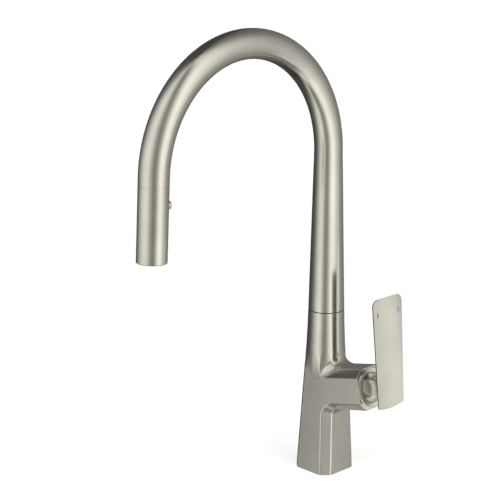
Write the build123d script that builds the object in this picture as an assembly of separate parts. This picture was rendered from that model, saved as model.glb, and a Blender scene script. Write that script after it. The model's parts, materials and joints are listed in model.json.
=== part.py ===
from build123d import *
import math
import os

# Single-lever pull-down kitchen faucet, in millimetres.
# Origin: centre of the body's underside, on the worktop. +Z is up, the spout reaches over -Y,
# and the lever stands on the +X side.

# ---- driving dimensions -------------------------------------------------------------------

# Body casting
BASE_HALF = 23.88              # half the width across the flats, at the worktop
BASE_CORNER = 28.07            # axis to the flat of a cut corner, at the worktop
FRONT_TAPER = 0.0398           # how fast the front and back close in with height
SIDE_TAPER = 0.0303            # the same for the side that carries the arm
CORNER_CUT = 7.9               # leg of the 45 degree cut along the edges of the arm side
SEAM_X = 1.5                   # the flat-sided arm half starts just past the axis
SPLIT_Z = 167.6                # top of the body, where the spout starts to turn
REVEAL = 0.8                   # open groove between the body and the spout
TOP_R = 17.98                  # body radius at the split
FLATS_Z = 105.0                # up to here the foot has flats
FLATS_HALF = 19.70
FLATS_CORNER = 20.97
WAIST_Z = 128.0                # the last of the foot dies out in the round column
WAIST_R = 19.45
COLUMN_FOOT_Z = 60.0           # the round column's root, buried in the arm half
HOSE_BORE_R = 7.5
COLUMN_BORE_R = 12.5
COLUMN_BORE_Z = 103.0
SOCKET_R = 15.05               # bore that the spout's shank turns in
SOCKET_Z = 143.0
WALL = 1.8                     # spout tube wall

# Arm, tilted up, with the cartridge inside
ARM_TILT = 12.86               # degrees
ARM_AXIS_Z = 86.4              # where the arm's axis meets the column's
ARM_LENGTH = 63.65             # along the axis, to the arm's end face
ARM_HALF_HEIGHT = 20.83
ELBOW_R = 7.0                  # inside corner under the arm
NUT_BORE_R = 17.25
CHAMBER_R = 14.05
NUT_BORE_DEPTH = 16.0
CHAMBER_DEPTH = 38.0

# Spout
ARCH_R = 111.95                # centre line
ARCH_Z = 328.8
ARCH_SWEEP = 176.86            # degrees
TUBE_R = 14.0
CONE_TOP_Z = 308.0
CONE_TOP_R = 14.45
STUB = 8.15                    # straight tube after the arch, down to the spray head

# Spray head, measured down its own axis from the end of the arch
HEAD_TOP = 8.25
HEAD_TIP = 76.8
BUTTON_AT = 25.9
BUTTON_W = 12.0
BUTTON_H = 7.6
BUTTON_OUT = 17.2              # head axis to the button's face
SPOOL_GROOVES = (-3.2, 1.6)
NOZZLE_RINGS = ((12, 8.55), (18, 10.7))  # how many nozzles, and the radius of their ring

# Hose
HOSE_R = 5.5
HOSE_BORE = 4.0

# Lever
HUB_R = 14.5
HUB_DOME_R = 60.0              # the hub's face is a shallow dome
HUB_TOP = 2.5                  # middle of the dome above the arm's end
NECK_UP = 10.5                 # neck above and below the arm's axis
NECK_DOWN = 5.6
PADDLE_TILT = 4.73             # degrees that the plate's top leans back to the column
PADDLE_AT = 24.98              # arm end to the plate's front face, along the arm's axis
PADDLE_T = 2.3
PADDLE_DOWN = 17.75
PADDLE_UP = 90.9
PADDLE_HALF_W = 18.95          # at the arm's axis
PADDLE_FLARE = 0.026           # growth of the half width with height
PADDLE_BOW = 2.1               # how far the plate's foot bows out
EDGE_DRAFT = 20                # degrees that the plate's edges slope in to its back
MARK_AT = (15.0, 75.3)         # temperature marks, across and up from the arm's axis
MARK_W = 1.66
MARK_H = 5.26
PIN_R = 1.5

# Passages in the body's foot
INLET_XY = (9.5, 9.5)
OUTLET_X = 13.2
PORT_R = 4.2
PORT_DEPTH = 12.0
STUD_XY = (-9.0, 11.0)
STUD_R = 2.5

# ---- frames -------------------------------------------------------------------------------

tilt = math.radians(ARM_TILT)
ARM_DIR = Vector(math.cos(tilt), 0, math.sin(tilt))
ARM_UP = Vector(-math.sin(tilt), 0, math.cos(tilt))
ARM_END = Vector(0, 0, ARM_AXIS_Z) + ARM_DIR * ARM_LENGTH
# Arm frame: local Z runs out along the arm, local Y up the end face, local X along +Y.
ARM = Plane(origin=ARM_END, x_dir=(0, 1, 0), z_dir=ARM_DIR).location

sweep_end = math.radians(ARCH_SWEEP)
ARCH_CENTRE = Vector(0, -ARCH_R, ARCH_Z)
ARCH_END = ARCH_CENTRE + Vector(0, math.cos(sweep_end), math.sin(sweep_end)) * ARCH_R
HEAD_DIR = Vector(0, -math.sin(sweep_end), math.cos(sweep_end))
# Head frame: local Z runs down the head's axis, local Y points back to the column.
HEAD = Plane(origin=ARCH_END, x_dir=(-1, 0, 0), z_dir=HEAD_DIR).location

lean = math.radians(PADDLE_TILT)
PADDLE = Plane(
    origin=ARM_END + ARM_DIR * PADDLE_AT,
    x_dir=(0, 1, 0),
    z_dir=(math.cos(lean), 0, math.sin(lean)),
).location


# ---- helpers ------------------------------------------------------------------------------

def rod(radius, low, high):
    """A round bar along local Z."""
    return Pos(0, 0, low) * Cylinder(radius, high - low, align=(Align.CENTER, Align.CENTER, Align.MIN))


def ring(outer, inner, low, high):
    """A round sleeve along local Z."""
    return rod(outer, low, high) - rod(inner, low - 1, high + 1)


def block(x, y, z):
    """A box from three (low, high) pairs."""
    size = [pair[1] - pair[0] for pair in (x, y, z)]
    return Pos(x[0], y[0], z[0]) * Box(*size, align=(Align.MIN, Align.MIN, Align.MIN))


def pill(width, height, low, high):
    """A bar with round ends: wide in local X, tall in local Z, running along local Y."""
    face = Rot(90, 0, 0) * SlotOverall(width, height)
    return Pos(0, high, 0) * extrude(face, high - low, dir=(0, -1, 0))


def pill_up(width, height, low, high):
    """A bar with round ends: wide in local X, tall in local Y, running along local Z."""
    return Pos(0, 0, low) * extrude(Rot(0, 0, 90) * SlotOverall(height, width), high - low)


def cross_rod(radius, low, high):
    """A round bar along local Y."""
    return Rot(-90, 0, 0) * rod(radius, low, high)


def spun(*points):
    """A turned piece: a closed (radius, z) outline about local Z."""
    return revolve(make_face(Polyline(*[(r, 0, z) for r, z in points], close=True)), Axis.Z)


# ---- body ---------------------------------------------------------------------------------

def foot_section(z, flat, corner, spread):
    """A level outline with four flats and four corners: straight at the foot, round higher up.

    flat and corner are the distances from the axis to their middles, and spread is the
    distance to the eight points where they meet.
    """
    half = math.atan2(BASE_CORNER * math.sqrt(2) - BASE_HALF, BASE_HALF)
    edges = []
    for quarter in range(4):
        middle = quarter * math.pi / 2
        stops = [(middle - half, spread), (middle, flat), (middle + half, spread)]
        stops += [(middle + math.pi / 4, corner), (middle + math.pi / 2 - half, spread)]
        points = [Vector(r * math.cos(a), r * math.sin(a), z) for a, r in stops]
        if z == 0:
            edges += [Line(points[0], points[2]), Line(points[2], points[4])]
        else:
            edges += [ThreePointArc(*points[0:3]), ThreePointArc(*points[2:5])]
    return make_face(edges)


def body_foot():
    """The half away from the arm: a square foot that flows into the round column."""
    base_spread = math.hypot(BASE_HALF, BASE_CORNER * math.sqrt(2) - BASE_HALF)
    sections = [
        foot_section(0, BASE_HALF, BASE_CORNER, base_spread),
        foot_section(FLATS_Z, FLATS_HALF, FLATS_CORNER, FLATS_CORNER),
        foot_section(WAIST_Z, WAIST_R, WAIST_R, WAIST_R),
    ]
    whole = loft(sections, ruled=True)
    return whole & block((-40, SEAM_X), (-40, 40), (-1, WAIST_Z + 1))


def body_column():
    """The round, slightly tapering column."""
    curve = Spline((19.75, 0, COLUMN_FOOT_Z), (19.78, 0, 105), (19.83, 0, 115), (19.68, 0, 125),
                   (19.03, 0, 140), (18.50, 0, 152), (TOP_R, 0, SPLIT_Z))
    sides = Polyline((TOP_R, 0, SPLIT_Z), (0, 0, SPLIT_Z), (0, 0, COLUMN_FOOT_Z), (19.75, 0, COLUMN_FOOT_Z))
    return revolve(make_face([curve, sides]), Axis.Z)


def body_arm():
    """The flat-sided half: the foot's right side, the elbow and the tilted arm, corners cut."""
    low = ARM_END - ARM_UP * ARM_HALF_HEIGHT
    high = ARM_END + ARM_UP * ARM_HALF_HEIGHT
    slope = math.tan(tilt)
    # where the side face, leaning in, meets the arm's underside
    elbow_z = (low.Z - (low.X - BASE_HALF) * slope) / (1 + SIDE_TAPER * slope)
    outline = Polyline(
        (SEAM_X, 0, 0), (BASE_HALF, 0, 0), (BASE_HALF - SIDE_TAPER * elbow_z, 0, elbow_z),
        (low.X, 0, low.Z), (high.X, 0, high.Z), (SEAM_X, 0, high.Z - (high.X - SEAM_X) * slope), close=True,
    )
    side = make_face(outline)
    elbow = side.vertices().sort_by_distance((BASE_HALF, 0, elbow_z))[0]
    side = fillet(elbow, ELBOW_R)
    reach = ARM_END.X + 20
    top = 130
    narrow = BASE_HALF - FRONT_TAPER * top
    width = make_face(Polyline(
        (0, -BASE_HALF, 0), (0, BASE_HALF, 0), (0, narrow, top), (0, -narrow, top), close=True,
    ))
    solid = extrude(side, 30, dir=(0, 1, 0), both=True) & extrude(width, reach, dir=(1, 0, 0))
    cut = []
    for face in solid.faces():
        if abs(face.normal_at().Y) > 0.9:
            for edge in face.edges():
                middle = edge.center()
                on_end = (middle - ARM_END).dot(ARM_DIR) > -0.01
                if middle.Z > 0.01 and middle.X > SEAM_X + 0.01 and not on_end:
                    cut.append(edge)
    return chamfer(cut, CORNER_CUT)


def body_passages():
    """Everything that is bored out of the casting."""
    bores = rod(HOSE_BORE_R, -1, COLUMN_BORE_Z + 1)
    bores += spun((0, COLUMN_BORE_Z), (HOSE_BORE_R, COLUMN_BORE_Z), (COLUMN_BORE_R, COLUMN_BORE_Z + 6),
                  (COLUMN_BORE_R, SOCKET_Z), (SOCKET_R, SOCKET_Z), (SOCKET_R, SPLIT_Z + 1), (0, SPLIT_Z + 1))
    for side in (-1, 1):
        inlet = Pos(INLET_XY[0], side * INLET_XY[1], 0)
        bores += inlet * (rod(PORT_R, -1, PORT_DEPTH) + rod(3.0, 0, 86))
        bores += ARM * Pos(side * 7, -4, -CHAMBER_DEPTH) * rod(2.8, -16.5, 1)
        bores += Pos(STUD_XY[0], side * STUD_XY[1], 0) * rod(STUD_R, -1, 14)
    bores += Pos(OUTLET_X, 0, 0) * (rod(PORT_R, -1, PORT_DEPTH) + rod(2.6, 0, 96.5))
    bores += ARM * Pos(0, 6.5, -CHAMBER_DEPTH) * rod(2.6, -11, 1)
    bores += ARM * (rod(NUT_BORE_R, -NUT_BORE_DEPTH, 1) + rod(CHAMBER_R, -CHAMBER_DEPTH, 0))
    bores += Pos(0, 0, 155) * cross_rod(2.5, 10, 25)
    bores += ring(21.2, 18.6, -1, 2.0) - block((-40, 40), (-40, 40), (-3, -0.5))
    return bores


def body_shell():
    return body_foot() + body_column() + body_arm() - body_passages()


def base_gasket():
    """Rubber ring in the groove under the foot."""
    return ring(21.15, 18.65, 0, 1.95)


def hose_guide():
    """Plastic bush that keeps the hose off the edge of its passage."""
    return ring(HOSE_BORE_R - 0.02, 6.2, 0.2, 16)


def spout_lock_screw():
    """Grub screw in the back of the body, whose tip runs in the shank's groove."""
    screw = cross_rod(2.45, 13.6, 17.9) + cross_rod(1.6, 12.3, 13.6)
    return Pos(0, 0, 155) * (screw - cross_rod(1.1, 15.6, 18.5))


# ---- cartridge, in the arm frame ------------------------------------------------------------

def cartridge_housing():
    """Plastic can with a collar that sits on the step in the arm's bore."""
    can = spun((8.7, -11), (11.9, -11), (11.9, -13.1), (17.1, -13.1), (17.1, -15.95), (14.0, -15.95),
               (14.0, -34), (12.7, -34), (12.7, -13), (8.7, -13))
    return ARM * can


def port_holes(radius, low, high):
    """The hot, cold and outlet holes that line up from the discs down to the casting."""
    holes = Pos(0, 6.5, 0) * rod(radius, low, high)
    for side in (-1, 1):
        holes += Pos(side * 7, -4, 0) * rod(radius, low, high)
    return holes


def cartridge_base():
    """Bottom cap of the cartridge, with a seal groove round each port."""
    cap = rod(13.95, -37.9, -34.05) + rod(12.65, -34.05, -30.05)
    return ARM * (cap - port_holes(2.5, -39, -29) - port_holes(3.9, -38, -36.9))


def cartridge_seals():
    """Three port rings, squeezed between the cartridge and the casting."""
    seals = port_holes(3.85, -37.98, -36.92) - port_holes(2.75, -39, -36)
    return ARM * seals


def fixed_disc():
    """Lower ceramic disc."""
    return ARM * (rod(12.6, -30, -26.03) - port_holes(2.3, -31, -25))


def moving_disc():
    """Upper ceramic disc, with the mixing pocket in its face."""
    disc = rod(8.8, -25.98, -22.9) - Pos(0, 1.5, 0) * rod(5.0, -26.5, -24.4)
    return ARM * Pos(0, -3.5, 0) * disc


def disc_carrier():
    """Plastic carrier above the moving disc, driven by the tip of the stem."""
    plate = rod(9.0, -22.85, -17.3) & block((-8.45, 8.45), (-10, 10), (-23, -17))
    pocket = block((-3.2, 3.2), (0.25, 6.75), (-22.2, -17))
    return ARM * Pos(0, -3.5, 0) * (plate - pocket)


def cartridge_spindle():
    """Turning barrel: a slotted neck for the stem, a flange, and two rails for the carrier."""
    body = Sphere(5.5) + rod(5.5, -10.7, 0) + rod(8.6, -13.1, -10.7) + rod(12.65, -17.1, -13.1)
    rails = rod(12.65, -21, -17.1) - block((-8.55, 8.55), (-14, 14), (-22, -17.1))
    stem_way = block((-3.1, 3.1), (-3.5, 10.4), (-18, -2)) + block((-3.1, 3.1), (-7, 7), (-2, 7))
    hole = Rot(0, 90, 0) * rod(PIN_R + 0.05, -7, 7)
    return ARM * (body + rails - stem_way - hole)


def stem_pin():
    """Steel pin that the stem rocks on."""
    return ARM * Rot(0, 90, 0) * rod(PIN_R + 0.04, -5.1, 5.1)


def control_stem():
    """Square stem from the carrier's pocket, past the pin, up into the lever."""
    bar = block((-3.0, 3.0), (-3.0, 3.0), (-13, 13.5)) + block((-3.0, 3.0), (-2.3, 2.3), (-18, -13))
    tip = Rot(0, 90, 0) * Pos(19, 0, 0) * rod(2.95, -3.0, 3.0)
    return ARM * (bar + tip - Rot(0, 90, 0) * rod(PIN_R + 0.09, -4, 4))


def cartridge_nut():
    """Brass ring nut that clamps the cartridge's collar."""
    nut = spun((12.1, -13.05), (17.2, -13.05), (17.2, -8), (15.2, -8), (15.2, -11), (12.1, -11))
    for step in range(4):
        nut -= Rot(0, 0, 90 * step) * block((14.8, 18), (-1.5, 1.5), (-9.5, -7))
    return ARM * nut


def trim_ring():
    """Bonnet ring on the arm's end, its skirt screwed into the bore."""
    trim = spun((14.9, 0.3), (15.1, 0.5), (19.3, 1.0), (19.6, 0.7), (19.6, 0.02), (17.15, 0.02),
                (17.15, -3.4), (16.1, -3.4), (16.1, -4.6), (17.15, -4.6), (17.15, -7.5), (15.4, -7.5),
                (15.4, -0.6), (14.9, -0.1))
    return ARM * trim


def trim_ring_seal():
    """O-ring in the skirt's groove."""
    return ARM * Pos(0, 0, -4) * Torus(16.66, 0.53)


# ---- lever ----------------------------------------------------------------------------------

def paddle_outline():
    """The lever plate's face: flared, round at the top, gently bowed at the foot."""
    foot = PADDLE_HALF_W - PADDLE_FLARE * PADDLE_DOWN
    head = PADDLE_HALF_W + PADDLE_FLARE * PADDLE_UP
    sides = Polyline((-foot, -PADDLE_DOWN, 0), (-head, PADDLE_UP, 0), (head, PADDLE_UP, 0),
                     (foot, -PADDLE_DOWN, 0))
    toe = ThreePointArc((foot, -PADDLE_DOWN, 0), (0, -PADDLE_DOWN - PADDLE_BOW, 0), (-foot, -PADDLE_DOWN, 0))
    face = make_face([sides, toe])
    return fillet(face.vertices().sort_by(Axis.Y)[-2:], 7.5)


def mark_bar(side, grow, low, high):
    """The space of one temperature mark, or of its pocket, which is grow millimetres larger."""
    return Pos(side * MARK_AT[0], MARK_AT[1], 0) * pill_up(MARK_W + grow, MARK_H + grow, low, high)


def lever_handle():
    """Ball hub, neck and plate, cast in one."""
    dome = Pos(0, 0, HUB_TOP - HUB_DOME_R) * Sphere(HUB_DOME_R)
    hub = Sphere(HUB_R) & dome & block((-20, 20), (-20, 20), (-5, 5))
    hollow = Sphere(5.7) + spun((0, 2.2), (5.25, 2.2), (8.9, -6.1), (0, -6.1))
    flare = make_face(Polyline((-9.0, 0, 0.5), (9.0, 0, 0.5), (12.6, 0, 23.6), (-12.6, 0, 23.6), close=True))
    neck = Pos(0, NECK_UP, 0) * extrude(flare, NECK_UP + NECK_DOWN, dir=(0, -1, 0))
    sides = [e for e in neck.edges() if abs(e.center().X) > 10 and abs(e.center().Z - 12) < 1]
    neck = fillet(sides, 1.5)
    grip = ARM * (hub + neck - hollow)
    plate = extrude(paddle_outline(), PADDLE_T, dir=(0, 0, -1), taper=EDGE_DRAFT)
    rims = plate.faces().sort_by(Axis.Z)
    plate = fillet(rims[-1].edges(), 0.3)
    plate = fillet(plate.faces().sort_by(Axis.Z)[0].edges(), 0.5)
    grip += PADDLE * plate
    for side in (-1, 1):
        grip -= PADDLE * mark_bar(side, 0.04, -0.5, 0.05)
    grip -= ARM * (block((-3.03, 3.03), (-3.03, 3.03), (-1, 13.7)))
    return grip - ARM * Pos(0, 0, 10) * cross_rod(2.05, -5, 0)


def handle_screw():
    """Grub screw under the neck, tight on the stem."""
    screw = Pos(0, 0, 10) * (cross_rod(2.0, -3.9, -3.03) - cross_rod(0.8, -4, -3.3))
    return ARM * screw


def screw_cap():
    """Small plug over the grub screw."""
    return ARM * Pos(0, 0, 10) * cross_rod(2.0, -4.7, -3.95)


def mark(side):
    """Enamel bar set flush in the plate: hot towards the front, cold towards the back."""
    return PADDLE * mark_bar(side, 0, -0.49, 0)


# ---- spout ----------------------------------------------------------------------------------

def spout_skin(shrink, low):
    """The solid inside a surface that lies shrink millimetres within the spout's outside."""
    foot_r = CONE_TOP_R + (TOP_R - CONE_TOP_R) * (CONE_TOP_Z - low) / (CONE_TOP_Z - SPLIT_Z)
    lean_in = (TOP_R - CONE_TOP_R) / (CONE_TOP_Z - SPLIT_Z)
    shoulder = Spline((CONE_TOP_R - shrink, 0, CONE_TOP_Z), (TUBE_R - shrink, 0, ARCH_Z),
                      tangents=[(-lean_in, 0, 1), (0, 0, 1)])
    sides = Polyline((TUBE_R - shrink, 0, ARCH_Z), (0, 0, ARCH_Z), (0, 0, low), (foot_r - shrink, 0, low),
                     (CONE_TOP_R - shrink, 0, CONE_TOP_Z))
    column = revolve(make_face([shoulder, sides]), Axis.Z)
    start = Pos(0, 0, ARCH_Z) * Circle(TUBE_R - shrink)
    arch = revolve(start, Axis((0, -ARCH_R, ARCH_Z), (1, 0, 0)), ARCH_SWEEP)
    return column + arch + HEAD * rod(TUBE_R - shrink, 0, STUB)


def spout_tube():
    """The tapering column, the arch and the short straight end, one hollow tube."""
    end_cut = HEAD * rod(TUBE_R - WALL, STUB - 0.5, STUB + 1)
    return spout_skin(0, SPLIT_Z + REVEAL) - spout_skin(WALL, SPLIT_Z + REVEAL - 0.1) - end_cut


def thrust_washer():
    """Slip ring between the body and the spout, at the bottom of the groove round the column."""
    return ring(17.0, 15.2, SPLIT_Z + 0.02, SPLIT_Z + REVEAL - 0.02)


def spout_shank():
    """Brass sleeve in the spout's foot, which reaches down into the body's socket."""
    groove = ring(14, 11.9, 152.4, 157.6)
    shoulder = SPLIT_Z + REVEAL + 0.05
    plug = spun((8.0, 146.0), (12.9, 146.0), (12.9, SPLIT_Z), (14.9, SPLIT_Z), (14.9, shoulder),
                (15.95, shoulder), (15.85, 172), (14.8, 173), (14.8, 188), (8.0, 188))
    return plug - groove


def glide_ring(low):
    """Plastic bearing ring on the shank."""
    return ring(SOCKET_R - 0.05, 12.93, low, low + 5)


def dock_collar():
    """Plastic sleeve in the spout's end that the spray head's neck drops into."""
    sleeve = ring(TUBE_R - WALL - 0.03, 10.6, -0.8, STUB - 0.3)
    return HEAD * (sleeve - ring(13, 11.15, 3.4, 6.8))


def dock_magnet():
    """Magnet ring in the collar, which holds the head in place."""
    return HEAD * ring(TUBE_R - WALL - 0.05, 11.2, 3.45, 6.75)


def hose_section(z):
    """The hose cut across, at one height in the column."""
    return Pos(0, 0, z) * (Circle(HOSE_R) - Circle(HOSE_BORE))


def hose_run():
    """Hose from the worktop up through the body and spout, round the arch, almost to the head."""
    foot = 1.0
    sweep_left = math.degrees(16 / ARCH_R)
    rise = extrude(hose_section(foot), ARCH_Z - foot)
    bend = revolve(hose_section(ARCH_Z), Axis((0, -ARCH_R, ARCH_Z), (1, 0, 0)), ARCH_SWEEP - sweep_left)
    return rise + bend


def hose_pull():
    """The short stretch behind the head, which is all that the pulled-out hose adds to."""
    return HEAD * ring(HOSE_R - 0.05, HOSE_BORE, -16, -2)


# ---- spray head, in the head frame ------------------------------------------------------------

def hose_ferrule():
    """Crimped steel sleeve over the hose's end."""
    sleeve = ring(6.6, HOSE_R, -14, -2)
    for groove in (-11.5, -8.0, -4.5):
        sleeve -= ring(8, 6.35, groove - 0.6, groove + 0.6)
    return HEAD * sleeve


def hose_nipple():
    """Brass tail that the head turns on, with a ball-ended shoulder."""
    tail = spun((2.6, -10), (3.9, -10), (3.9, -2), (6.5, -1.9), (6.5, -0.9), (4.0, -0.9), (4.0, 6.2),
                (6.3, 6.2), (6.3, 8.4), (5.4, 9.3), (2.6, 9.3))
    return HEAD * tail


def swivel_nut():
    """Brass nut, screwed into the head, that holds the tail's shoulder."""
    return HEAD * ring(7.15, 4.08, -0.4, 6.1)


def inlet_washer():
    """Rubber washer under the tail's end."""
    return HEAD * ring(7.1, 3.0, 9.6, 11.0)


def check_valve():
    """Small plastic non-return valve in the head's inlet."""
    body = rod(4.9, 11.1, 16.9) - rod(3.2, 12.4, 18) - rod(1.6, 10, 13)
    poppet = rod(0.5, 13.2, 16.5) + ring(2.6, 0.4, 13.6, 14.6)
    bridge = block((-3.4, 3.4), (-0.5, 0.5), (15.6, 16.6))
    return HEAD * (body + poppet + bridge)


def head_keeper():
    """Steel ring in the head's top that the magnet pulls on."""
    return HEAD * ring(12.2, 10.36, 9.9, 11.9)


def spray_shell():
    """Outer sleeve of the head, closed round the neck, with the button's window."""
    sleeve = spun((10.4, HEAD_TOP), (TUBE_R - 0.05, HEAD_TOP), (TUBE_R, HEAD_TOP + 0.05),
                  (TUBE_R, HEAD_TIP - 0.9), (TUBE_R - 0.5, HEAD_TIP - 0.3), (12.5, HEAD_TIP - 0.3),
                  (12.5, 71.5), (12.3, 71.5), (12.3, HEAD_TOP + 1.6), (10.4, HEAD_TOP + 1.6))
    window = Pos(0, 0, BUTTON_AT) * pill(BUTTON_W + 0.4, BUTTON_H + 0.4, 9, 20)
    return HEAD * (sleeve - window)


def spray_core():
    """Plastic body of the head: the inlet, the diverter's cross bore, and two ways down."""
    core = rod(10.3, -0.5, 12) + rod(12.2, 12, 66)
    core -= rod(7.2, -1, 11.05) + rod(4.95, 11, 17) + rod(3.6, 16, BUTTON_AT + 5)
    core -= rod(3.2, BUTTON_AT, 67)
    core -= ring(10.6, 6.8, 44, 67)
    for turn in range(4):
        core -= Rot(0, 0, 45 + 90 * turn) * Pos(8.5, 0, 0) * rod(1.4, BUTTON_AT + 7, 45)
    chamber = cross_rod(3.45, -10.5, 8) + pill(14.2, 9.8, 6.6, 13)
    gallery = ring(10.2, 4.6, BUTTON_AT + 5.2, BUTTON_AT + 8.2) & block((-12, 12), (-12, 5.5), (20, 40))
    return HEAD * (core - Pos(0, 0, BUTTON_AT) * chamber - gallery)


def spray_button():
    """Polished push button with the lip that keeps it behind the window."""
    key = pill(BUTTON_W, BUTTON_H, 8.8, BUTTON_OUT)
    key = fillet(key.faces().sort_by(Axis.Y)[-1].edges(), 0.9)
    key += pill(13.6, 9.2, 8.8, 9.9)
    return HEAD * Pos(0, 0, BUTTON_AT) * key


def diverter_spool():
    """Spool behind the button that switches between stream and spray."""
    spool = cross_rod(3.4, -6, 8.75)
    for groove in SPOOL_GROOVES:
        waist = cross_rod(3.6, groove - 0.7, groove + 0.7) - cross_rod(2.5, groove - 1, groove + 1)
        spool -= waist
    spool -= cross_rod(4, 4.0, 7.0) - cross_rod(2.0, 3.5, 7.5)
    return HEAD * Pos(0, 0, BUTTON_AT) * spool


def spool_seals():
    """O-rings in the spool's two grooves."""
    seal = Rot(90, 0, 0) * Torus(2.93, 0.4)
    seals = [Pos(0, groove, 0) * seal for groove in SPOOL_GROOVES]
    return HEAD * Pos(0, 0, BUTTON_AT) * (seals[0] + seals[1])


def button_spring():
    """Coil spring that pushes the spool and button out."""
    path = Helix(pitch=1.1, height=3.6, radius=2.4)
    coil = sweep(Plane(path @ 0, z_dir=path % 0) * Circle(0.25), path=path, is_frenet=True)
    return HEAD * Pos(0, 0, BUTTON_AT) * Rot(-90, 0, 0) * Pos(0, 0, -10.15) * coil


def spray_face():
    """Dark face plate at the head's tip, pierced for the aerator and the spray nozzles."""
    plate = rod(12.4, 72.9, 75.7) + rod(12.15, 71.7, 72.9)
    plate -= rod(6.75, 71, 77)
    for count, radius in NOZZLE_RINGS:
        for spot in PolarLocations(radius, count):
            plate -= spot * rod(0.75, 71, 77)
    return HEAD * plate


def spray_nozzles():
    """Silicone mat whose nipples show through the face plate."""
    mat = ring(12.1, 6.8, 70.2, 71.65)
    for count, radius in NOZZLE_RINGS:
        for spot in PolarLocations(radius, count):
            mat += spot * rod(0.7, 71, HEAD_TIP - 0.05)
            mat -= spot * rod(0.35, 69, 77)
    return HEAD * mat


def aerator_insert():
    """Aerator cartridge in the middle of the face."""
    cup = ring(6.65, 5.6, 66.1, 75.9) + ring(5.7, 0.9, 67.6, 68.8)
    for turn in range(3):
        cup += Rot(0, 0, 60 * turn) * block((-5.7, 5.7), (-0.35, 0.35), (69.6, 71.0))
    return HEAD * cup


def aerator_screen():
    """Perforated screen across the aerator's mouth."""
    screen = rod(5.55, 74.6, 75.3)
    for spot in HexLocations(0.66, 7, 7):
        if spot.position.length < 5.0:
            screen -= spot * Rot(0, 0, 30) * block((-0.42, 0.42), (-0.42, 0.42), (74, 76))
    return HEAD * screen


# ---- all pieces -------------------------------------------------------------------------------

PARTS = {
    "body_shell": body_shell,
    "base_gasket": base_gasket,
    "hose_guide": hose_guide,
    "spout_lock_screw": spout_lock_screw,
    "cartridge_housing": cartridge_housing,
    "cartridge_base": cartridge_base,
    "cartridge_seals": cartridge_seals,
    "fixed_disc": fixed_disc,
    "moving_disc": moving_disc,
    "disc_carrier": disc_carrier,
    "cartridge_spindle": cartridge_spindle,
    "stem_pin": stem_pin,
    "control_stem": control_stem,
    "cartridge_nut": cartridge_nut,
    "trim_ring": trim_ring,
    "trim_ring_seal": trim_ring_seal,
    "lever_handle": lever_handle,
    "handle_screw": handle_screw,
    "screw_cap": screw_cap,
    "hot_mark": lambda: mark(-1),
    "cold_mark": lambda: mark(1),
    "spout_tube": spout_tube,
    "thrust_washer": thrust_washer,
    "spout_shank": spout_shank,
    "lower_glide_ring": lambda: glide_ring(146.6),
    "upper_glide_ring": lambda: glide_ring(160.6),
    "dock_collar": dock_collar,
    "dock_magnet": dock_magnet,
    "hose_run": hose_run,
    "hose_pull": hose_pull,
    "hose_ferrule": hose_ferrule,
    "hose_nipple": hose_nipple,
    "swivel_nut": swivel_nut,
    "inlet_washer": inlet_washer,
    "check_valve": check_valve,
    "head_keeper": head_keeper,
    "spray_shell": spray_shell,
    "spray_core": spray_core,
    "spray_button": spray_button,
    "diverter_spool": diverter_spool,
    "spool_seals": spool_seals,
    "button_spring": button_spring,
    "spray_face": spray_face,
    "spray_nozzles": spray_nozzles,
    "aerator_insert": aerator_insert,
    "aerator_screen": aerator_screen,
}

os.makedirs("parts", exist_ok=True)
for name, make in PARTS.items():
    export_step(make(), f"parts/{name}.step")
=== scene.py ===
import bpy
import json
import math
import numpy as np
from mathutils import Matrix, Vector


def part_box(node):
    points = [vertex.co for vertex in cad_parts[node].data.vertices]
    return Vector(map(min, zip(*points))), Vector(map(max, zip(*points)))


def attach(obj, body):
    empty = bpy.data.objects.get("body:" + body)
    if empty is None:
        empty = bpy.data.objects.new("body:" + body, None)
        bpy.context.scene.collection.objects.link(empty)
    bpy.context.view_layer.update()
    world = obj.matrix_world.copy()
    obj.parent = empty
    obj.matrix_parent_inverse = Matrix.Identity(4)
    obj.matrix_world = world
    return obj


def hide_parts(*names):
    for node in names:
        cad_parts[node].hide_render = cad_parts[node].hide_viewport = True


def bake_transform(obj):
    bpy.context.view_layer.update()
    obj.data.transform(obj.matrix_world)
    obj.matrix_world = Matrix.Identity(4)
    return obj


# Pull-down kitchen faucet: looks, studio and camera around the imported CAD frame. Metres.

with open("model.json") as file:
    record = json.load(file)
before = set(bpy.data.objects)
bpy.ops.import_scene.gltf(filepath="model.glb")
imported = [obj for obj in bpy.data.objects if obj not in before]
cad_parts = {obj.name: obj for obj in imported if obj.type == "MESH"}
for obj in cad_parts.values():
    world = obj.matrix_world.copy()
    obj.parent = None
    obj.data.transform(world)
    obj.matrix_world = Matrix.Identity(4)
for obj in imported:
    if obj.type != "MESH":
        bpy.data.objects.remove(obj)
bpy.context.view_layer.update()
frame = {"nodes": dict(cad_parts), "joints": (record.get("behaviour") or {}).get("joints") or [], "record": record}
node = frame["nodes"]

# ---- camera ---------------------------------------------------------------------------------

CAMERA_AZIMUTH = math.radians(45.503)
CAMERA_PITCH = math.radians(14.776)
CAMERA_AT = Vector((0.94795, -1.03828, 0.59841))
LENS = 105.71

TO_CAMERA = Vector((math.sin(CAMERA_AZIMUTH), -math.cos(CAMERA_AZIMUTH), 0))
TO_RIGHT = Vector((math.cos(CAMERA_AZIMUTH), math.sin(CAMERA_AZIMUTH), 0))


def make_camera():
    data = bpy.data.cameras.new("camera")
    data.lens = LENS
    data.sensor_width = 36.0
    data.clip_start = 0.05
    data.clip_end = 60.0
    camera = bpy.data.objects.new("camera", data)
    bpy.context.scene.collection.objects.link(camera)
    camera.location = CAMERA_AT
    camera.rotation_euler = (math.pi / 2 - CAMERA_PITCH, 0, CAMERA_AZIMUTH)
    bpy.context.scene.camera = camera


# ---- node helpers ---------------------------------------------------------------------------

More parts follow.
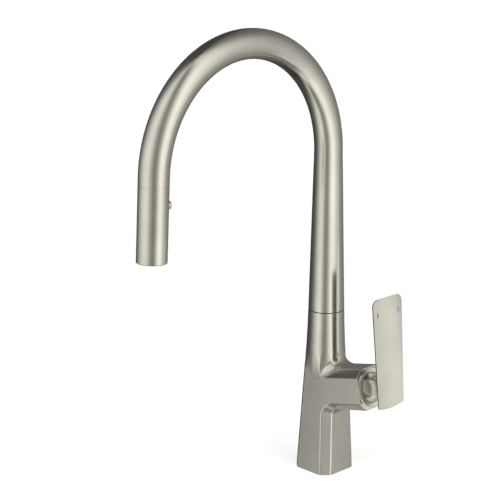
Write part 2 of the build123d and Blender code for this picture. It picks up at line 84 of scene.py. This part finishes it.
class Graph:
    """Short calls for building a node tree."""

    def __init__(self, tree):
        self.tree = tree
        tree.nodes.clear()

    def add(self, kind, values=None, **settings):
        made = self.tree.nodes.new(kind)
        for name, value in settings.items():
            setattr(made, name, value)
        for key, value in (values or {}).items():
            self.put(made.inputs[key], value)
        return made

    def put(self, socket, value):
        if isinstance(value, bpy.types.NodeSocket):
            self.tree.links.new(value, socket)
        else:
            socket.default_value = value

    def math(self, operation, *values):
        made = self.add("ShaderNodeMath", operation=operation)
        for socket, value in zip(made.inputs, values):
            self.put(socket, value)
        return made.outputs[0]

    def dot(self, a, b):
        made = self.add("ShaderNodeVectorMath", {0: a, 1: b}, operation="DOT_PRODUCT")
        return made.outputs["Value"]

    def noise(self, vector, scale, detail=2.0, roughness=0.5):
        made = self.add("ShaderNodeTexNoise", {
            "Vector": vector, "Scale": scale, "Detail": detail, "Roughness": roughness})
        return made.outputs["Fac"]

    def spread(self, value, low, high, start=0.0, end=1.0):
        made = self.add("ShaderNodeMapRange", {
            "Value": value, "From Min": start, "From Max": end, "To Min": low, "To Max": high})
        return made.outputs["Result"]

    def blend(self, factor, a, b):
        made = self.add("ShaderNodeMix", data_type="RGBA")
        self.put(made.inputs["Factor"], factor)
        self.put(made.inputs["A"], a)
        self.put(made.inputs["B"], b)
        return made.outputs["Result"]


def rgb(r, g, b):
    return (r, g, b, 1.0)


# ---- where things are -----------------------------------------------------------------------

joint = {j["name"]: j for j in frame["joints"]}
HEAD_AT = Vector(joint["head_swivel"]["pos_m"])
HEAD_DOWN = Vector(joint["head_swivel"]["axis"]).normalized()
HEAD_BACK = Vector((1, 0, 0)).cross(HEAD_DOWN).normalized()

# ---- short calls ----------------------------------------------------------------------------

def new_material(name):
    material = bpy.data.materials.new(name)
    material.use_nodes = True
    return material, Graph(material.node_tree)


def surface(g, shader):
    """Joins the shader to the material's output."""
    out = g.add("ShaderNodeOutputMaterial")
    g.put(out.inputs["Surface"], shader.outputs[0])


def new_object(name, points, faces, material):
    mesh = bpy.data.meshes.new(name)
    mesh.from_pydata(points, [], faces)
    mesh.materials.append(material)
    made = bpy.data.objects.new(name, mesh)
    bpy.context.scene.collection.objects.link(made)
    return made


def mirrored_only(light):
    """The metal mirrors this light, and it does nothing else."""
    light.visible_camera = False
    light.visible_diffuse = False
    light.visible_shadow = False
    light.visible_transmission = False


# ---- studio ---------------------------------------------------------------------------------

# Tall soft light banks on a round screen about the faucet's column: the angle of their middle
# from the camera (right is plus), how fast they fade to the left and to the right, in degrees,
# and their strength.
LEFT_BANK = (-48, 38, 24, 0.96)
RIGHT_BANK = (31, 27, 42, 1.28)
ROOM = 0.07
SCREEN_RADIUS = 0.57
SCREEN_Z = (-1.2, 1.8)
SCREEN_STEPS = 96
# The screen is dimmer far below and far above the faucet.
LOW_SHADE = 0.62
LOW_FADE_Z = (-0.8, -0.3)
HIGH_SHADE = 0.80
HIGH_FADE_Z = (0.8, 1.2)
FLOOR_HALF = 20.0
FLOOR_GLOW = 0.68
# The lever's plate: its middle, in from the lever's far side and down from its top, and its lean.
PLATE_MIDDLE = (0.003, 0.054)
PLATE_LEAN = math.radians(4.73)
# The card: how far from the plate, half its width and height, its light, and how that falls
# across it, per metre.
CARD_AWAY = 0.10
CARD_HALF = (0.024, 0.072)
CARD_LIGHT = 0.88
CARD_FALL = -11.0


def soft_edge(g, off, width):
    """Fades fast: for the side of a bank that has a clean edge."""
    share = g.math("DIVIDE", off, width)
    return g.math("EXPONENT", g.math("MULTIPLY", g.math("MULTIPLY", share, share), -1.0))


def long_edge(g, off, width):
    """Fades slowly: for the side of a bank that spills into the room."""
    share = g.math("DIVIDE", off, width)
    return g.math("DIVIDE", 1.0, g.math("ADD", g.math("MULTIPLY", share, share), 1.0))


def bank_light(g, angle, bank, right_edge):
    middle, left, right, strength = bank
    to_left = g.math("MAXIMUM", g.math("SUBTRACT", middle, angle), 0.0)
    to_right = g.math("MAXIMUM", g.math("SUBTRACT", angle, middle), 0.0)
    shape = g.math("MULTIPLY", soft_edge(g, to_left, left), right_edge(g, to_right, right))
    return g.math("MULTIPLY", shape, strength)


def studio_light(g, way):
    """How bright the studio is in the direction of way."""
    angle = g.math("ARCTAN2", g.dot(way, TO_RIGHT), g.dot(way, TO_CAMERA))
    angle = g.math("MULTIPLY", angle, 180 / math.pi)
    left = bank_light(g, angle, LEFT_BANK, soft_edge)
    right = bank_light(g, angle, RIGHT_BANK, long_edge)
    return g.math("ADD", g.math("ADD", left, right), ROOM)


def make_world():
    world = bpy.data.worlds.new("studio")
    bpy.context.scene.world = world
    world.use_nodes = True
    g = Graph(world.node_tree)
    way = g.add("ShaderNodeTexCoord").outputs["Generated"]
    background = g.add("ShaderNodeBackground", {"Strength": studio_light(g, way)})
    out = g.add("ShaderNodeOutputWorld")
    g.put(out.inputs["Surface"], background.outputs[0])


def make_screen():
    """The round screen that carries the light banks. Only the metal sees it."""
    points = []
    for z in SCREEN_Z:
        for step in range(SCREEN_STEPS):
            turn = 2 * math.pi * step / SCREEN_STEPS
            points.append((SCREEN_RADIUS * math.cos(turn), SCREEN_RADIUS * math.sin(turn), z))
    faces = []
    for k in range(SCREEN_STEPS):
        after = (k + 1) % SCREEN_STEPS
        faces.append((k, after, SCREEN_STEPS + after, SCREEN_STEPS + k))
    material, g = new_material("light_screen")
    spot = g.add("ShaderNodeTexCoord").outputs["Object"]
    height = g.add("ShaderNodeSeparateXYZ", {0: spot}).outputs["Z"]
    below = g.spread(height, LOW_SHADE, 1.0, *LOW_FADE_Z)
    above = g.spread(height, 1.0, HIGH_SHADE, *HIGH_FADE_Z)
    light = g.math("MULTIPLY", studio_light(g, spot), g.math("MULTIPLY", below, above))
    surface(g, g.add("ShaderNodeEmission", {"Strength": light}))
    mirrored_only(new_object("light_screen", points, faces, material))


def make_card():
    """A small grey card beside the lever, which its plate mirrors instead of the light banks."""
    plate_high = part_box("lever_handle")[1]
    middle = Vector((plate_high[0] - PLATE_MIDDLE[0], 0, plate_high[2] - PLATE_MIDDLE[1]))
    incoming = -(TO_CAMERA * math.cos(CAMERA_PITCH) + Vector((0, 0, math.sin(CAMERA_PITCH))))
    normal = Vector((math.cos(PLATE_LEAN), 0, math.sin(PLATE_LEAN)))
    mirrored = incoming - normal * (2 * incoming.dot(normal))
    across = mirrored.cross(Vector((0, 0, 1))).normalized()
    up = across.cross(mirrored).normalized()
    centre = middle + mirrored * CARD_AWAY
    points = [list(centre + across * (a * CARD_HALF[0]) + up * (b * CARD_HALF[1]))
              for a, b in ((-1, -1), (1, -1), (1, 1), (-1, 1))]
    material, g = new_material("grey_card")
    spot = g.add("ShaderNodeTexCoord").outputs["Object"]
    off = g.math("SUBTRACT", g.dot(spot, across), centre.dot(across))
    light = g.math("ADD", g.math("MULTIPLY", off, CARD_FALL), CARD_LIGHT)
    surface(g, g.add("ShaderNodeEmission", {"Strength": light}))
    mirrored_only(new_object("grey_card", points, [(0, 1, 2, 3)], material))


def make_floor():
    corners = [(a * FLOOR_HALF, b * FLOOR_HALF, 0) for a, b in ((-1, -1), (1, -1), (1, 1), (-1, 1))]
    material, g = new_material("floor")
    spot = g.add("ShaderNodeTexCoord").outputs["Object"]
    colour = g.blend(g.noise(spot, 1.5), rgb(0.93, 0.93, 0.93), rgb(0.95, 0.95, 0.95))
    shader = g.add("ShaderNodeBsdfPrincipled", {"Base Color": colour, "Roughness": 0.9})
    shader.inputs["Emission Color"].default_value = rgb(1, 1, 1)
    shader.inputs["Emission Strength"].default_value = FLOOR_GLOW
    surface(g, shader)
    floor = new_object("floor", corners, [(0, 1, 2, 3)], material)
    floor.visible_glossy = False


# ---- materials ------------------------------------------------------------------------------

NICKEL = (0.668, 0.646, 0.562)
NICKEL_ROUGHNESS = 0.20
ARCH_CENTRE = Vector((0, -0.11195, 0.3288))
ARCH_RADIUS = 0.11195
BRAID_PITCH = 0.0056
BRAID_THREADS = 10


def simple(name, low, high, metallic, roughness, scale, bump=0.2, depth=0.00004):
    """A material with mottled colour, uneven gloss and a fine surface grain."""
    material, g = new_material(name)
    spot = g.add("ShaderNodeTexCoord").outputs["Object"]
    cloud = g.noise(spot, scale * 0.12, 3.0)
    grain = g.noise(spot, scale, 4.0, 0.6)
    shader = g.add("ShaderNodeBsdfPrincipled", {
        "Base Color": g.blend(g.spread(cloud, 0, 1, 0.35, 0.65), rgb(*low), rgb(*high)),
        "Metallic": metallic,
        "Roughness": g.spread(grain, roughness - 0.05, roughness + 0.05, 0.3, 0.7),
    })
    rough = g.add("ShaderNodeBump", {"Height": grain, "Strength": bump, "Distance": depth})
    g.put(shader.inputs["Normal"], rough.outputs[0])
    surface(g, shader)
    return material


def along_spout(g, spot):
    """A vector whose last part runs up the column, over the arch and down the head."""
    parts = g.add("ShaderNodeSeparateXYZ", {0: spot}).outputs
    over = g.math("SUBTRACT", parts["Z"], ARCH_CENTRE.z)
    out = g.math("SUBTRACT", parts["Y"], ARCH_CENTRE.y)
    turn = g.math("ARCTAN2", g.math("MAXIMUM", over, 0.0), out)
    straight = g.math("MULTIPLY", g.math("MINIMUM", over, 0.0), g.math("SIGN", out))
    path = g.math("ADD", g.math("MULTIPLY", turn, ARCH_RADIUS), straight)
    joined = g.add("ShaderNodeCombineXYZ", {"X": parts["X"], "Y": parts["Y"], "Z": path})
    return joined.outputs[0]


def stretched(g, vector, scale):
    """The vector with each part multiplied by its own scale."""
    made = g.add("ShaderNodeVectorMath", {0: vector, 1: scale}, operation="MULTIPLY")
    return made.outputs[0]


def brushed(name, colour, roughness, line=(90, 90, 3200)):
    """Metal with fine brush lines, soft smudges and a few longer strokes. line is how fast the
    brush marks change along X, Y and the spout's path."""
    material, g = new_material(name)
    spot = g.add("ShaderNodeTexCoord").outputs["Object"]
    path = along_spout(g, spot)
    cloud = g.noise(spot, 30.0, 3.0)
    fine = g.noise(stretched(g, path, line), 1.0, 3.0, 0.65)
    strokes = g.noise(stretched(g, path, [0.25 * part for part in line]), 1.0, 2.0)
    grain = g.math("ADD", g.math("MULTIPLY", fine, 0.7), g.math("MULTIPLY", strokes, 0.3))
    darker = [c * 0.95 for c in colour]
    lighter = [min(1, c * 1.04) for c in colour]
    shader = g.add("ShaderNodeBsdfPrincipled", {
        "Base Color": g.blend(g.spread(cloud, 0, 1, 0.35, 0.65), rgb(*darker), rgb(*lighter)),
        "Metallic": 1.0,
        "Roughness": g.spread(grain, roughness - 0.05, roughness + 0.05, 0.3, 0.7),
    })
    rough = g.add("ShaderNodeBump", {"Height": grain, "Strength": 0.12, "Distance": 0.00002})
    g.put(shader.inputs["Normal"], rough.outputs[0])
    surface(g, shader)
    return material


def braid(name, along, across, side):
    """Crossed threads round a hose: along, across and side are lengths in the hose's own frame."""
    material, g = new_material(name)
    spot = g.add("ShaderNodeTexCoord").outputs["Object"]
    run = g.math("MULTIPLY", along(g, spot), 2 * math.pi / BRAID_PITCH)
    turn = g.math("MULTIPLY", g.math("ARCTAN2", side(g, spot), across(g, spot)), BRAID_THREADS)
    one = g.math("SINE", g.math("ADD", turn, run))
    other = g.math("SINE", g.math("SUBTRACT", turn, run))
    weave = g.spread(g.math("MULTIPLY", one, other), 0, 1, -1, 1)
    wear = g.noise(spot, 400.0, 3.0)
    shader = g.add("ShaderNodeBsdfPrincipled", {
        "Base Color": g.blend(weave, rgb(0.035, 0.035, 0.04), rgb(0.20, 0.20, 0.21)),
        "Metallic": 0.0,
        "Roughness": g.spread(wear, 0.42, 0.58, 0.3, 0.7),
    })
    rough = g.add("ShaderNodeBump", {"Height": weave, "Strength": 0.6, "Distance": 0.0003})
    g.put(shader.inputs["Normal"], rough.outputs[0])
    surface(g, shader)
    return material


def hose_in_spout():
    """Braid for the hose that follows the spout."""
    def along(g, spot):
        return g.add("ShaderNodeSeparateXYZ", {0: along_spout(g, spot)}).outputs["Z"]

    def across(g, spot):
        parts = g.add("ShaderNodeSeparateXYZ", {0: spot}).outputs
        over = g.math("MAXIMUM", g.math("SUBTRACT", parts["Z"], ARCH_CENTRE.z), 0.0)
        out = g.math("SUBTRACT", parts["Y"], ARCH_CENTRE.y)
        reach = g.math("SQRT", g.math("ADD", g.math("MULTIPLY", over, over), g.math("MULTIPLY", out, out)))
        return g.math("SUBTRACT", reach, ARCH_RADIUS)

    def side(g, spot):
        return g.add("ShaderNodeSeparateXYZ", {0: spot}).outputs["X"]
    return braid("hose_braid", along, across, side)


def hose_out_of_spout():
    """Braid for the straight hose behind the head."""
    def measured(way):
        return lambda g, spot: g.math("SUBTRACT", g.dot(spot, way), HEAD_AT.dot(way))
    return braid("hose_braid_pulled", measured(HEAD_DOWN), measured(HEAD_BACK), measured(Vector((1, 0, 0))))


def dress():
    """Gives every CAD node the material of its slot."""
    made = {
        "brushed_nickel": brushed("brushed_nickel", NICKEL, NICKEL_ROUGHNESS),
        "turned_nickel": brushed("turned_nickel", NICKEL, NICKEL_ROUGHNESS),
        "bright_nickel": brushed("bright_nickel", (0.78, 0.76, 0.72), 0.12),
        "brass": simple("brass", (0.62, 0.46, 0.22), (0.72, 0.56, 0.30), 1.0, 0.3, 900),
        "steel": simple("steel", (0.50, 0.51, 0.52), (0.60, 0.61, 0.62), 1.0, 0.3, 900),
        "magnet": simple("magnet", (0.05, 0.05, 0.055), (0.08, 0.08, 0.085), 0.3, 0.55, 700),
        "black_plastic": simple("black_plastic", (0.02, 0.02, 0.02), (0.035, 0.035, 0.035), 0.0, 0.5, 900),
        "white_plastic": simple("white_plastic", (0.72, 0.72, 0.69), (0.80, 0.80, 0.77), 0.0, 0.45, 900),
        "ceramic": simple("ceramic", (0.82, 0.81, 0.78), (0.88, 0.87, 0.84), 0.0, 0.15, 500),
        "rubber": simple("rubber", (0.02, 0.02, 0.02), (0.035, 0.035, 0.035), 0.0, 0.65, 600),
        "silicone": simple("silicone", (0.16, 0.17, 0.18), (0.22, 0.23, 0.24), 0.0, 0.55, 600),
        "hose_braid": hose_in_spout(),
        "red_enamel": simple("red_enamel", (0.50, 0.05, 0.04), (0.62, 0.07, 0.05), 0.0, 0.3, 900),
        "blue_enamel": simple("blue_enamel", (0.08, 0.28, 0.38), (0.11, 0.36, 0.48), 0.0, 0.3, 900),
    }
    for part in frame["record"]["subparts"]:
        data = node[part["node"]].data
        data.materials.clear()
        data.materials.append(made[part["material_slot"]])
    # the lever's brush lines run along its plate instead
    lever = node["lever_handle"].data
    lever.materials.clear()
    lever.materials.append(brushed("brushed_lever", NICKEL, NICKEL_ROUGHNESS, (90, 3200, 90)))


# ---- pieces that stand in for CAD nodes -----------------------------------------------------

# The body's casting in millimetres: sizes of the smooth field below, measured like the CAD body.
FIELD_STEP = 0.7
BASE_HALF = 23.88
BASE_CORNER = 28.07
FRONT_TAPER = 0.0398
SIDE_TAPER = 0.0303
CORNER_CUT = 7.9
FLATS_Z = 105.0
FLATS_HALF = 19.70
FLATS_CORNER = 20.97
WAIST_Z = 128.0
COLUMN_AT = (60.0, 105.0, 115.0, 125.0, 140.0, 152.0, 167.6)
COLUMN_RADII = (19.75, 19.78, 19.83, 19.68, 19.03, 18.50, 17.98)
WAIST_R = COLUMN_RADII[3]
ARM_HALF_HEIGHT = 20.83
ELBOW_R = 7.0
BROW_REACH = 14.0      # how far the column's round front slides out along the arm
BROW_RISE = 11.0       # the height above the arm's top where that starts
BROW_LEAST = 0.3       # below this height it slides no further, where its curve would turn flat
BROW_ROOT = 1.0        # how deep it reaches into the arm
EDGE_SOFT = 0.7        # how near two faces are where their edge starts to round
SEAM_X = 1.5           # the arm's flat-sided half starts here, just past the column's axis
# Its bores in millimetres: radii, places in the foot, heights from the worktop, depths from the
# foot's underside or the arm's end, and for the lock screw how far back of the column's axis.
OPEN = 2               # how far a bore runs out past the face that it opens in
HOSE_BORE_R = 7.5
HOSE_BORE_TOP = 105
COLUMN_BORE_R = 12.5
COLUMN_BORE_Z = (106, 145)
SOCKET_R = 15.05
SOCKET_Z = (143, 170)
NUT_BORE_R = 17.25
NUT_BORE_DEPTH = 16
CHAMBER_R = 14.05
CHAMBER_DEPTH = 38
PORT_R = 4.2
PORT_DEPTH = 12
INLET_XY = (9.5, 9.5)
OUTLET_X = 13.2
STUD_R = 2.5
STUD_DEPTH = 14
STUD_XY = (-9.0, 11.0)
GROOVE_INNER_R = 18.6
GROOVE_OUTER_R = 21.2
GROOVE_DEPTH = 2.0
LOCK_SCREW_R = 2.5
LOCK_SCREW_Z = 155
LOCK_SCREW_Y = (10, 25)
# The other two pieces, in metres. HOSE_FROM and HOSE_TO are measured down the head's axis.
SPRING_WIRE = 0.00025
SPRING_PITCH = 0.0011
SPRING_TURNS = 3
HOSE_WALL = 0.00145
HOSE_FROM = -0.016
HOSE_TO = -0.002


def smooth_max(a, b, width):
    """Where both fields are inside, with their edge rounded."""
    near = np.maximum(width - np.abs(a - b), 0) / width
    return np.maximum(a, b) + near * near * width / 4


def round_join(a, b, radius):
    """Union of two fields with a concave fillet between them."""
    corner = np.hypot(np.maximum(radius - a, 0), np.maximum(radius - b, 0))
    return np.maximum(radius, np.minimum(a, b)) - corner


def drilled(away, along, radius, low, high):
    """A round hole: away is the distance from its axis, and along runs down it from low to high."""
    return np.maximum(away - radius, np.maximum(low - along, along - high))


class BodyField:
    """Signed distance, near enough, to the skin of the faucet's body."""

    def __init__(self):
        self.end = np.array(joint["temperature_turn"]["pos_m"]) * 1000
        self.out = np.array(joint["temperature_turn"]["axis"])
        self.up = np.array([-self.out[2], 0, self.out[0]])
        self.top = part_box("body_shell")[1][2] * 1000

    def arm_frame(self, x, z):
        """How far each point is above the arm's axis, and how far out past the arm's end."""
        rise = (x - self.end[0]) * self.up[0] + (z - self.end[2]) * self.up[2]
        reach = (x - self.end[0]) * self.out[0] + (z - self.end[2]) * self.out[2]
        return rise, reach

    def foot(self, x, y, z):
        share = np.clip(z / FLATS_Z, 0, 1)
        half = BASE_HALF + (FLATS_HALF - BASE_HALF) * share
        corner = BASE_CORNER + (FLATS_CORNER - BASE_CORNER) * share
        flats = np.maximum(np.maximum(np.abs(x), np.abs(y)) - half,
                           (np.abs(x) + np.abs(y)) / math.sqrt(2) - corner)
        waist = np.clip((z - FLATS_Z) / (WAIST_Z - FLATS_Z), 0, 1)
        return np.maximum(flats * (1 - waist) + (np.hypot(x, y) - WAIST_R) * waist, z - WAIST_Z)

    def arm(self, x, y, z):
        rise, reach = self.arm_frame(x, z)
        side = np.abs(y) - (BASE_HALF - FRONT_TAPER * z)
        flat = rise - ARM_HALF_HEIGHT
        top = smooth_max(flat, (flat + side + CORNER_CUT) / math.sqrt(2), EDGE_SOFT)
        under = round_join(x - (BASE_HALF - SIDE_TAPER * z), -rise - ARM_HALF_HEIGHT, ELBOW_R)
        cut = (under + side + CORNER_CUT) / math.sqrt(2)
        sides = smooth_max(np.maximum(under, side), cut, EDGE_SOFT)
        sides = np.maximum(np.maximum(sides, reach), SEAM_X - x)
        arm = smooth_max(top, sides, EDGE_SOFT)
        # the brow: near the arm's top the column's round front slides out along the arm
        above = smooth_max(flat, flat + side + CORNER_CUT, EDGE_SOFT)
        share = 1 - np.clip(above, BROW_LEAST, BROW_RISE) / BROW_RISE
        shift = BROW_REACH * (1 - np.sqrt(1 - share * share))
        slid = np.where(x > 0, np.maximum(x - shift, 0), x)
        brow = np.hypot(slid, y) - np.interp(z, COLUMN_AT, COLUMN_RADII)
        brow = np.maximum(np.maximum(brow, z - self.top), -BROW_ROOT - above)
        return -smooth_max(-arm, -brow, EDGE_SOFT)

    def bores(self, x, y, z):
        away = np.hypot(x, y)
        rise, reach = self.arm_frame(x, z)
        off = np.hypot(rise, y)
        inlet_off = np.hypot(x - INLET_XY[0], np.abs(y) - INLET_XY[1])
        outlet_off = np.hypot(x - OUTLET_X, y)
        stud_off = np.hypot(x - STUD_XY[0], np.abs(y) - STUD_XY[1])
        bores = [
            # up the column: hose, wider hose bore, socket for the spout's shank. The cone between
            # the first two is left out, and a thin web of casting stands in its place.
            drilled(away, z, HOSE_BORE_R, -OPEN, HOSE_BORE_TOP),
            drilled(away, z, COLUMN_BORE_R, *COLUMN_BORE_Z),
            drilled(away, z, SOCKET_R, *SOCKET_Z),
            # in from the arm's end: collar and nut, cartridge
            drilled(off, reach, NUT_BORE_R, -NUT_BORE_DEPTH, OPEN),
            drilled(off, reach, CHAMBER_R, -CHAMBER_DEPTH, OPEN),
            # under the foot: hot and cold ports, outlet, studs, gasket groove
            drilled(inlet_off, z, PORT_R, -OPEN, PORT_DEPTH),
            drilled(outlet_off, z, PORT_R, -OPEN, PORT_DEPTH),
            drilled(stud_off, z, STUD_R, -OPEN, STUD_DEPTH),
            np.maximum(drilled(away, z, GROOVE_OUTER_R, -OPEN, GROOVE_DEPTH), GROOVE_INNER_R - away),
            # in the column's back: the lock screw
            drilled(np.hypot(x, z - LOCK_SCREW_Z), y, LOCK_SCREW_R, *LOCK_SCREW_Y),
        ]
        return np.minimum.reduce(bores)

    def __call__(self, p):
        x, y, z = p[..., 0], p[..., 1], p[..., 2]
        column = np.maximum(np.hypot(x, y) - np.interp(z, COLUMN_AT, COLUMN_RADII), z - self.top)
        skin = np.minimum(np.minimum(self.foot(x, y, z), column), self.arm(x, y, z))
        return np.maximum(np.maximum(skin, -z), -self.bores(x, y, z))


def slope_of(field, p):
    """The field's gradient at each point."""
    reach = 0.04
    slope = np.empty_like(p)
    for axis in range(3):
        step = np.zeros(3)
        step[axis] = reach
        slope[:, axis] = (field(p + step) - field(p - step)) / (2 * reach)
    return slope


CORNERS = [(a, b, c) for a in (0, 1) for b in (0, 1) for c in (0, 1)]
GRID_MARGIN = 1.37     # cells outside the box, and no whole number, so that no flat face is on the grid
SETTLE_STEPS = 3
SETTLE_MOST = 0.4      # limit of one settling step, in millimetres where the field's slope is 1
SLOPE_LEAST = 0.3


def skin_of(field, low, high, step):
    """Vertices, quads and normals of the field's zero surface, one vertex to a grid cell."""
    sizes = [int((high[k] - low[k]) / step) + 4 for k in range(3)]
    along = [low[k] - GRID_MARGIN * step + step * np.arange(sizes[k]) for k in range(3)]
    grid = np.stack(np.meshgrid(*along, indexing="ij"), axis=-1)
    value = np.concatenate([field(slab[None]) for slab in grid])
    inside = value < 0
    count = sum(inside[a:sizes[0] - 1 + a, b:sizes[1] - 1 + b, c:sizes[2] - 1 + c].astype(int)
                for a, b, c in CORNERS)
    # a cell has a vertex if the surface passes through it
    cells = np.argwhere((count > 0) & (count < 8))
    number = np.full(count.shape, -1)
    number[tuple(cells.T)] = np.arange(len(cells))
    total = np.zeros((len(cells), 3))
    crossed = np.zeros(len(cells))
    for first in CORNERS:
        for axis in range(3):
            if first[axis]:
                continue
            other = list(first)
            other[axis] = 1
            a = value[tuple((cells + first).T)]
            b = value[tuple((cells + other).T)]
            change = (a < 0) != (b < 0)
            share = np.where(change, a / np.where(change, a - b, 1), 0)
            spot = np.array(first, float) + np.outer(share, np.array(other) - np.array(first))
            total += spot * change[:, None]
            crossed += change
    points = grid[0, 0, 0] + step * (cells + total / crossed[:, None])
    # the vertices settle onto the surface
    for _ in range(SETTLE_STEPS):
        slope = slope_of(field, points)
        pull = field(points) / np.maximum((slope * slope).sum(axis=1), SLOPE_LEAST)
        points = points - np.clip(pull, -SETTLE_MOST, SETTLE_MOST)[:, None] * slope
    # each grid edge that the surface crosses joins its four cells in a quad
    quads = []
    for axis in range(3):
        u, v = (axis + 1) % 3, (axis + 2) % 3
        ahead = [slice(None)] * 3
        behind = [slice(None)] * 3
        ahead[axis], behind[axis] = slice(1, None), slice(None, -1)
        flips = np.argwhere(inside[tuple(behind)] != inside[tuple(ahead)])
        inner = inside[tuple(flips.T)]
        ring = []
        for du, dv in ((-1, -1), (0, -1), (0, 0), (-1, 0)):
            cell = flips.copy()
            cell[:, u] += du
            cell[:, v] += dv
            ring.append(number[tuple(cell.T)])
        ring = np.stack(ring, axis=1)
        ring[~inner] = ring[~inner][:, ::-1]
        quads.append(ring)
    normals = slope_of(field, points)
    normals /= np.maximum(np.linalg.norm(normals, axis=1), 1e-6)[:, None]
    return points, np.concatenate(quads), normals


def new_piece(name, points, faces, stands_for, material):
    """A smooth piece that stands for a CAD node. It still has to ride or blend."""
    piece = new_object(name, points, faces, material)
    piece.data.shade_smooth()
    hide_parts(stands_for)
    return piece


def make_body():
    """The cast body with its soft brow over the arm and eased edges."""
    low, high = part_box("body_shell")
    low, high = np.array(low) * 1000, np.array(high) * 1000
    points, quads, normals = skin_of(BodyField(), low, high, FIELD_STEP)
    points = np.clip(points, low, high) / 1000
    material = node["body_shell"].data.materials[0]
    piece = new_piece("body_casting", points.tolist(), quads.tolist(),
                      "body_shell", material)
    piece.data.normals_split_custom_set_from_vertices(normals.tolist())
    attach(piece, "base")


def make_pulled_hose():
    """The hose behind the head, in many rings so that it draws out with the head."""
    low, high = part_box("hose_pull")
    outer = (high[0] - low[0]) / 2
    inner = outer - HOSE_WALL
    steps, rings = 32, 90
    points = []
    for radius in (outer, inner):
        for k in range(rings + 1):
            middle = HEAD_AT + HEAD_DOWN * (HOSE_FROM + (HOSE_TO - HOSE_FROM) * k / rings)
            for step in range(steps):
                turn = 2 * math.pi * step / steps
                spoke = Vector((1, 0, 0)) * math.cos(turn) + HEAD_BACK * math.sin(turn)
                points.append(list(middle + spoke * radius))
    wall = (rings + 1) * steps
    faces = []
    for step in range(steps):
        after = (step + 1) % steps
        for k in range(rings):
            a, b = k * steps, (k + 1) * steps
            faces.append((a + step, a + after, b + after, b + step))
            faces.append((wall + a + after, wall + a + step, wall + b + step, wall + b + after))
        last = rings * steps
        faces.append((after, step, wall + step, wall + after))
        faces.append((last + step, last + after, wall + last + after, wall + last + step))
    piece = new_piece("pulled_hose", points, faces, "hose_pull", hose_out_of_spout())
    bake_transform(piece)


def make_spring():
    """The button's coil spring, which shortens between the head and the button."""
    low, high = (Vector(corner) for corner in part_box("button_spring"))
    out = -Vector(joint["button_press"]["axis"]).normalized()
    middle = (low + high) / 2
    up = out.cross(Vector((1, 0, 0))).normalized()
    radius = (high.x - low.x) / 2 - SPRING_WIRE
    length = SPRING_PITCH * SPRING_TURNS
    start = middle - out * (length / 2)
    sides, to_turn = 10, 40
    steps = to_turn * SPRING_TURNS
    points = []
    for k in range(steps + 1):
        turn = 2 * math.pi * k / to_turn
        spoke = Vector((1, 0, 0)) * math.cos(turn) + up * math.sin(turn)
        centre = start + out * (length * k / steps) + spoke * radius
        for side in range(sides):
            around = 2 * math.pi * side / sides
            points.append(list(centre + (spoke * math.cos(around) + out * math.sin(around)) * SPRING_WIRE))
    faces = [(k * sides + side, k * sides + (side + 1) % sides, (k + 1) * sides + (side + 1) % sides,
              (k + 1) * sides + side) for k in range(steps) for side in range(sides)]
    faces += [tuple(range(sides))[::-1], tuple(range(steps * sides, steps * sides + sides))]
    piece = new_piece("button_coil", points, faces, "button_spring",
                      node["button_spring"].data.materials[0])
    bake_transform(piece)


bpy.context.scene.view_settings.view_transform = "Standard"
make_camera()
make_world()
make_screen()
make_card()
make_floor()
dress()
make_body()
make_pulled_hose()
make_spring()
